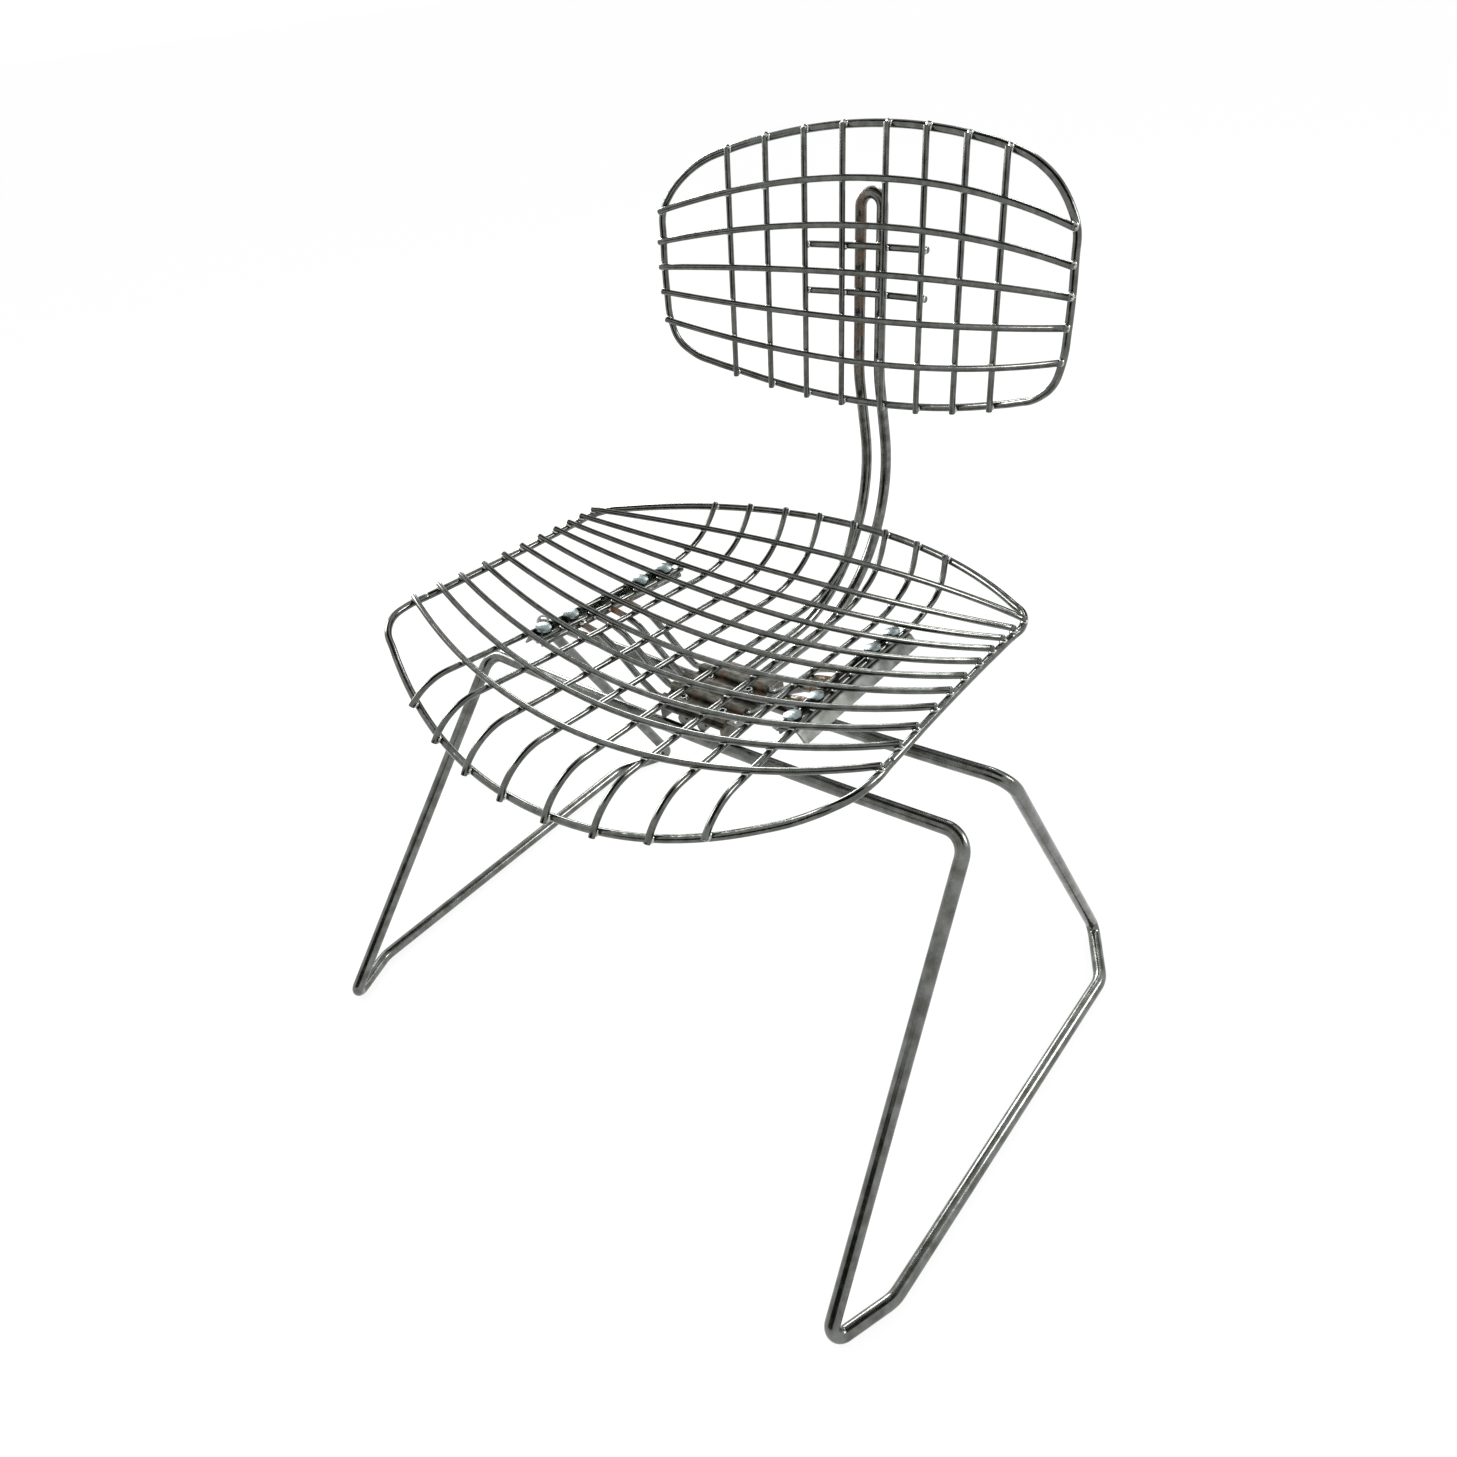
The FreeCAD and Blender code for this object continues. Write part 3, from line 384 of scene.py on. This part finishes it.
class ChairStudio(bpy.types.PropertyGroup):
    """Camera and colours of the studio"""
    camera_place: FloatVectorProperty(name="Camera", description="Where the camera stands",
                                      default=(0.6130, -0.6325, 0.9269), unit="LENGTH")
    camera_right: FloatVectorProperty(name="Camera right", description="Direction to the picture's right",
                                      default=(0.77573, 0.62003, -0.1175))
    camera_up: FloatVectorProperty(name="Camera up", description="Direction to the picture's top",
                                   default=(-0.29075, 0.5164, 0.80548))
    lens: FloatProperty(name="Lens", description="Focal length on a 36 mm sensor", default=27.18,
                        unit="CAMERA")
    floor_hex: StringProperty(name="Floor", description="Colour of the floor", default="#fafafa")
    # the cards glow in this colour: a painted dark reflection for the chrome
    card_hex: StringProperty(name="Cards", description="Colour of the dark cards in the reflections",
                             default="#2f312f")


# Operators

class CHAIR_OT_finishes(bpy.types.Operator):
    """Makes the chrome finishes that several pieces share"""
    bl_idname = "chair.finishes"
    bl_label = "Finishes"

    def execute(self, context):
        look = context.scene.chair_finish

        def worn(tree, place):
            return specks(tree, place, 5.0 * MM, low=0.70, high=0.78, top=0.6)

        # bright chrome plate on drawn wire: thin sharp streaks of light on near black, with tiny dull specks
        metal("mesh_bright_chrome", look.wire_hex, look.wire_dull_hex, rough=look.shine, worn=worn)
        # chrome over a melted bead, coloured far lighter than the wires' chrome: a painted highlight that
        # gives a small bright glint at each crossing
        metal("weld_chrome_painted_glint", look.weld_glint_hex, look.weld_glint_dull_hex, rough=look.shine,
              blotch=3.0 * MM)
        return {"FINISHED"}


class CHAIR_OT_base(bpy.types.Operator):
    """Finishes the bent base rods"""
    bl_idname = "chair.base"
    bl_label = "Base rods"

    def execute(self, context):
        look = context.scene.chair_finish

        def worn(tree, place):
            return specks(tree, place, 4.0 * MM, low=0.68, high=0.76, top=0.6)

        # chrome plate on thick bent rod, scuffed by shoes: broad cloudy grey streaks and a few brown specks
        material = metal("base_rod_chrome_plate", look.rod_hex, look.rod_dull_hex, rough=look.shine + 0.05,
                         worn=worn, blotch=14.0 * MM)
        dress(material, "base_rod_chrome", *node_names("base_"))
        return {"FINISHED"}


class CHAIR_OT_mesh(bpy.types.Operator):
    """Finishes the wires and rims of the seat and the back"""
    bl_idname = "chair.mesh"
    bl_label = "Mesh wires"

    def execute(self, context):
        names = node_names("seat_long", "seat_cross", "seat_rim", "seat_rail", "back_upright", "back_cross",
                           "back_rim", "back_mount")
        dress(bpy.data.materials["mesh_bright_chrome"], "mesh_wire_chrome", *names, end_round=WIRE_END_ROUND)
        return {"FINISHED"}


class CHAIR_OT_post(bpy.types.Operator):
    """Finishes the hairpin post, browned on its left rod behind the back"""
    bl_idname = "chair.post"
    bl_label = "Back post"

    def execute(self, context):
        look = context.scene.chair_finish

        def browned(tree, place):
            parts = add(tree, "ShaderNodeSeparateXYZ", {0: place})
            left = add(tree, "ShaderNodeMapRange", {"Value": parts.outputs["X"], "From Min": 0.0,
                                                    "From Max": POST_BROWN_SIDE})
            high = add(tree, "ShaderNodeMapRange", {"Value": parts.outputs["Z"], "From Min": POST_BROWN_FROM,
                                                    "From Max": POST_BROWN_FULL})
            area = add(tree, "ShaderNodeMath", {0: left, 1: high}, operation="MULTIPLY")
            cloud = blotches(tree, place, 12.0 * MM, low=0.35, high=0.55, top=0.55)
            patch = add(tree, "ShaderNodeMath", {0: area, 1: cloud}, operation="MULTIPLY")
            speck = specks(tree, place, 3.0 * MM, low=0.62, high=0.70, top=0.7)
            return add(tree, "ShaderNodeMath", {0: patch, 1: speck}, operation="MAXIMUM")

        # chrome plate worn thin by age: dark streaks, and a matt brown side where the steel shows through
        dress(metal("post_aged_chrome", look.rod_hex, look.rod_dull_hex, rough=look.shine + 0.04,
                    worn=browned),
              "post_chrome", "back_post")
        return {"FINISHED"}


class CHAIR_OT_springs(bpy.types.Operator):
    """Finishes the spring wires, rusty at their ends"""
    bl_idname = "chair.springs"
    bl_label = "Spring wires"

    def execute(self, context):
        look = context.scene.chair_finish

        def ends(tree, place):
            parts = add(tree, "ShaderNodeSeparateXYZ", {0: place})
            reach = add(tree, "ShaderNodeMath", {0: parts.outputs["X"]}, operation="ABSOLUTE")
            tip = add(tree, "ShaderNodeMapRange", {"Value": reach, "From Min": SPRING_RUST_FROM,
                                                   "From Max": SPRING_RUST_FULL})
            patch = blotches(tree, place, 6.0 * MM, low=0.34, high=0.52)
            return add(tree, "ShaderNodeMath", {0: tip, 1: patch}, operation="MULTIPLY")

        # satin chrome plate on spring wire: soft light grey, with matt brown ends where welding burnt it off
        dress(metal("spring_wire_chrome_plate", look.spring_hex, look.rod_hex, rough=look.shine + 0.13,
                    worn=ends),
              "spring_wire_chrome", *node_names("spring_wire"))
        return {"FINISHED"}


class CHAIR_OT_clamp(bpy.types.Operator):
    """Finishes the clamp: dull plated sheet with rust beside its fasteners"""
    bl_idname = "chair.clamp"
    bl_label = "Clamp"

    def execute(self, context):
        look = context.scene.chair_finish

        def stains(tree, place):
            low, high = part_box("clamp_fasteners")
            points = [(x + RUST_ASIDE, y, low[2] + RUST_UP)
                      for x in (low[0] + FASTENER_INSET, high[0] - FASTENER_INSET)
                      for y in (low[1] + FASTENER_INSET, high[1] - FASTENER_INSET)]
            spots = near(tree, place, points, PLATE_RUST_REACH)
            cloud = blotches(tree, place, 5.0 * MM, low=0.42, high=0.58, detail=4.0)
            beside = add(tree, "ShaderNodeMath", {0: spots, 1: cloud}, operation="MULTIPLY")
            speck = specks(tree, place, 4.0 * MM, low=0.6, high=0.7, top=0.8)
            return add(tree, "ShaderNodeMath", {0: beside, 1: speck}, operation="MAXIMUM")

        # old zinc plate on pressed sheet: matt, mottled grey-brown and pitted, rusty beside the fasteners
        dress(metal("clamp_dull_zinc_plate", look.clamp_hex, look.clamp_dull_hex, rough=0.34,
                    worn=stains, blotch=7.0 * MM, pit=1.4 * MM, pit_depth=0.25),
              "clamp_steel", "clamp_channel", "clamp_top_plate")
        # newer zinc plate on turned steel: pale satin rings that stand out from the clamp
        dress(metal("fastener_zinc_plate", look.fastener_hex, look.fastener_dull_hex, rough=0.20,
                    blotch=3.0 * MM),
              "fastener_zinc", "clamp_fasteners")
        return {"FINISHED"}


class CHAIR_OT_brackets(bpy.types.Operator):
    """Finishes the seat brackets and their heads"""
    bl_idname = "chair.brackets"
    bl_label = "Seat brackets"

    def execute(self, context):
        look = context.scene.chair_finish

        def stains(tree, place):
            spots = near(tree, place, BRACKET_RUST, BRACKET_RUST_REACH)
            cloud = blotches(tree, place, 5.0 * MM, low=0.4, high=0.55)
            patch = add(tree, "ShaderNodeMath", {0: spots, 1: cloud}, operation="MULTIPLY")
            speck = specks(tree, place, 4.0 * MM, low=0.64, high=0.72, top=0.6)
            return add(tree, "ShaderNodeMath", {0: patch, 1: speck}, operation="MAXIMUM")

        # dull zinc on folded steel sheet: matt grey in large clouds, with brown stains by the springs
        dress(metal("bracket_dull_steel_sheet", look.bracket_hex, look.bracket_dull_hex, rough=0.36,
                    worn=stains, blotch=18.0 * MM, pit=1.2 * MM, pit_depth=0.2),
              "bracket_steel", "seat_bracket_left", "seat_bracket_right")
        # blue passivated zinc on domed heads: a cool tint and one soft highlight on each
        dress(metal("head_blue_zinc_plate", look.head_hex, look.head_dull_hex, rough=0.28,
                    blotch=6.0 * MM),
              "head_zinc", "seat_bracket_heads")
        return {"FINISHED"}


class CHAIR_OT_seat_welds(bpy.types.Operator):
    """Adds the weld beads of the seat mesh, its rails and its rim"""
    bl_idname = "chair.seat_welds"
    bl_label = "Seat welds"

    def execute(self, context):
        welds = context.scene.chair_welds
        crosses = node_names("seat_cross_wire")
        longs = node_names("seat_long_wire")
        rails = node_names("seat_rail_wire")
        weld_group("seat_weld_beads", [crossing(a, b) for a in crosses for b in longs],
                   welds.mesh_bead, welds.bead_height, welds.seed)
        weld_group("seat_rail_weld_beads", [crossing(a, b) for a in crosses for b in rails],
                   welds.mesh_bead, welds.bead_height, welds.seed + 1)
        weld_group("seat_rim_weld_beads", rim_meetings(crosses + longs, node_names("seat_rim")),
                   welds.rim_bead, welds.bead_height * RIM_BEAD_RISE, welds.seed + 2)
        return {"FINISHED"}


class CHAIR_OT_back_welds(bpy.types.Operator):
    """Adds the weld beads of the back mesh, its rim, the mount bars and the post"""
    bl_idname = "chair.back_welds"
    bl_label = "Back welds"

    def execute(self, context):
        welds = context.scene.chair_welds
        uprights = node_names("back_upright_wire")
        crosses = node_names("back_cross_wire")
        weld_group("back_weld_beads", [crossing(a, b) for a in crosses for b in uprights],
                   welds.mesh_bead, welds.bead_height, welds.seed + 3)
        weld_group("back_rim_weld_beads", rim_meetings(crosses + uprights, node_names("back_rim")),
                   welds.rim_bead, welds.bead_height * RIM_BEAD_RISE, welds.seed + 4)
        weld_group("post_weld_beads", self.bar_meetings(uprights),
                   welds.rim_bead, welds.bead_height * POST_BEAD_RISE, welds.seed + 5)
        return {"FINISHED"}

    def bar_meetings(self, uprights):
        """Where each mount bar meets the middle uprights in front of it and the post's two rods behind it."""
        meetings = []
        low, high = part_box("back_mount_bars")
        post_low, post_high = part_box("back_post")
        for z in (low[2] + BAR_MIDDLE, high[2] - BAR_MIDDLE):
            for wire in uprights[BAR_UPRIGHTS]:
                a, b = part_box(wire)
                meetings.append(("back_mount_bars", wire, ((a[0] + b[0]) / 2, (low[1] + high[1]) / 2, z)))
            for x in (post_low[0] + POST_ROD_MIDDLE, post_high[0] - POST_ROD_MIDDLE):
                meetings.append(("back_mount_bars", "back_post", (x, high[1], z)))
        return meetings


class CHAIR_OT_spring_welds(bpy.types.Operator):
    """Adds the weld beads where the spring wires meet the brackets' rails"""
    bl_idname = "chair.spring_welds"
    bl_label = "Spring welds"

    def execute(self, context):
        welds = context.scene.chair_welds
        meetings = []
        for spring in node_names("spring_wire"):
            low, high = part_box(spring)
            for rail, x in (("seat_rail_wire_left", low[0]), ("seat_rail_wire_right", high[0])):
                meetings.append((spring, rail, (x, (low[1] + high[1]) / 2, high[2])))
        weld_group("spring_weld_beads", meetings, welds.rim_bead * SPRING_BEAD_REACH,
                   welds.bead_height * SPRING_BEAD_RISE, welds.seed + 6)
        return {"FINISHED"}


class CHAIR_OT_stage(bpy.types.Operator):
    """Sets up the floor, the dark cards, the world, the lamps and the camera"""
    bl_idname = "chair.stage"
    bl_label = "Studio"

    def execute(self, context):
        studio = context.scene.chair_studio
        self.floor(studio)
        self.cards(studio)
        self.world()
        self.lamps()
        self.camera(studio)
        context.scene.view_settings.view_transform = "Standard"
        return {"FINISHED"}

    def stand(self, name, data, place=(0, 0, 0), face=None):
        """Links an object of the studio at its place, its front turned to the point that it faces."""
        thing = bpy.data.objects.new(name, data)
        bpy.context.scene.collection.objects.link(thing)
        thing.location = place
        if face is not None:
            thing.rotation_euler = (face - Vector(place)).to_track_quat("-Z", "Y").to_euler()
        return thing

    def sheet(self, name, half, material):
        """Square sheet with this half side."""
        mesh = bmesh.new()
        bmesh.ops.create_grid(mesh, x_segments=1, y_segments=1, size=half)
        data = bpy.data.meshes.new(name)
        mesh.to_mesh(data)
        mesh.free()
        data.materials.append(material)
        return data

    def floor(self, studio):
        """Wide flat floor that fades into the white behind the chair."""
        # matt seamless paper: no shine, near white to the camera, and it keeps part of the chair's shadow
        material, tree = new_material("floor_matt_paper")
        paper = add(tree, "ShaderNodeBsdfDiffuse", {"Color": linear(studio.floor_hex)})
        glow = add(tree, "ShaderNodeEmission", {"Color": WHITE, "Strength": 1.0})
        share = add(tree, "ShaderNodeMath", {0: seen_directly(tree), 1: FLOOR_GLOW}, operation="MULTIPLY")
        mix = add(tree, "ShaderNodeMixShader", {0: share, 1: paper, 2: glow})
        add(tree, "ShaderNodeOutputMaterial", {"Surface": mix})
        self.stand("floor", self.sheet("floor", FLOOR_HALF, material))

    def cards(self, studio):
        """Dark cards that only the chrome sees, in front, behind and overhead."""
        # a glowing sheet of one even dark tone, not lit felt: a painted dark reflection of the room, which
        # gives the chrome its dark streaks
        material, tree = new_material("card_painted_dark_reflection")
        dark_glow = add(tree, "ShaderNodeEmission", {"Color": linear(studio.card_hex), "Strength": 1.0})
        add(tree, "ShaderNodeOutputMaterial", {"Surface": dark_glow})
        for name, place, size in CARDS:
            card = self.stand(name, self.sheet(name, 0.5, material), place, CARDS_FACE)
            card.scale = (*size, 1.0)
            card.visible_camera = False
            card.visible_diffuse = False
            card.visible_shadow = False

    def world(self):
        """Plain light all round, and white where a ray sees the world itself."""
        world = bpy.data.worlds.new("studio")
        bpy.context.scene.world = world
        world.use_nodes = True
        tree = world.node_tree
        tree.nodes.clear()
        light = add(tree, "ShaderNodeBackground", {"Color": WHITE, "Strength": WORLD_LIGHT})
        white = add(tree, "ShaderNodeBackground", {"Color": WHITE, "Strength": 1.0})
        mix = add(tree, "ShaderNodeMixShader", {0: seen_directly(tree), 1: light, 2: white})
        add(tree, "ShaderNodeOutputWorld", {"Surface": mix})

    def lamps(self):
        """Soft windows on the left and behind on both sides, and a strip behind, for streaks on the rods."""
        for name, place, size, power in LAMPS:
            data = bpy.data.lights.new(name, "AREA")
            data.shape = "RECTANGLE"
            data.size, data.size_y = size
            data.energy = power
            self.stand(name, data, place, LAMPS_FACE)

    def camera(self, studio):
        """The picture's camera, squared up from its two directions."""
        data = bpy.data.cameras.new("camera")
        data.sensor_fit = "HORIZONTAL"
        data.sensor_width = SENSOR_WIDTH
        data.lens = studio.lens
        data.clip_end = VIEW_END
        camera = self.stand("camera", data)
        right = Vector(studio.camera_right).normalized()
        back = right.cross(Vector(studio.camera_up)).normalized()
        turn = Matrix((right, back.cross(right), back)).transposed().to_4x4()
        camera.matrix_world = Matrix.Translation(studio.camera_place) @ turn
        bpy.context.scene.camera = camera


class CHAIR_PT_panel(bpy.types.Panel):
    """Lists the chair's settings and steps"""
    bl_label = "Wire mesh chair"
    bl_space_type = "VIEW_3D"
    bl_region_type = "UI"
    bl_category = "Chair"

    def draw(self, context):
        for name, group in GROUPS:
            for key in group.__annotations__:
                self.layout.prop(getattr(context.scene, name), key)
        for step in STEPS:
            self.layout.operator(step.bl_idname)


STEPS = (CHAIR_OT_finishes, CHAIR_OT_base, CHAIR_OT_mesh, CHAIR_OT_post, CHAIR_OT_springs, CHAIR_OT_clamp,
         CHAIR_OT_brackets, CHAIR_OT_seat_welds, CHAIR_OT_back_welds, CHAIR_OT_spring_welds, CHAIR_OT_stage)
GROUPS = (("chair_finish", ChairFinish), ("chair_welds", ChairWelds), ("chair_studio", ChairStudio))


def register():
    for name, group in GROUPS:
        bpy.utils.register_class(group)
        setattr(bpy.types.Scene, name, PointerProperty(type=group))
    for step in STEPS + (CHAIR_PT_panel,):
        bpy.utils.register_class(step)


def unregister():
    for step in reversed(STEPS + (CHAIR_PT_panel,)):
        bpy.utils.unregister_class(step)
    for name, group in reversed(GROUPS):
        delattr(bpy.types.Scene, name)
        bpy.utils.unregister_class(group)


def main():
    register()
    for step in STEPS:
        area, name = step.bl_idname.split(".")
        getattr(getattr(bpy.ops, area), name)()


if __name__ == "__main__":
    main()
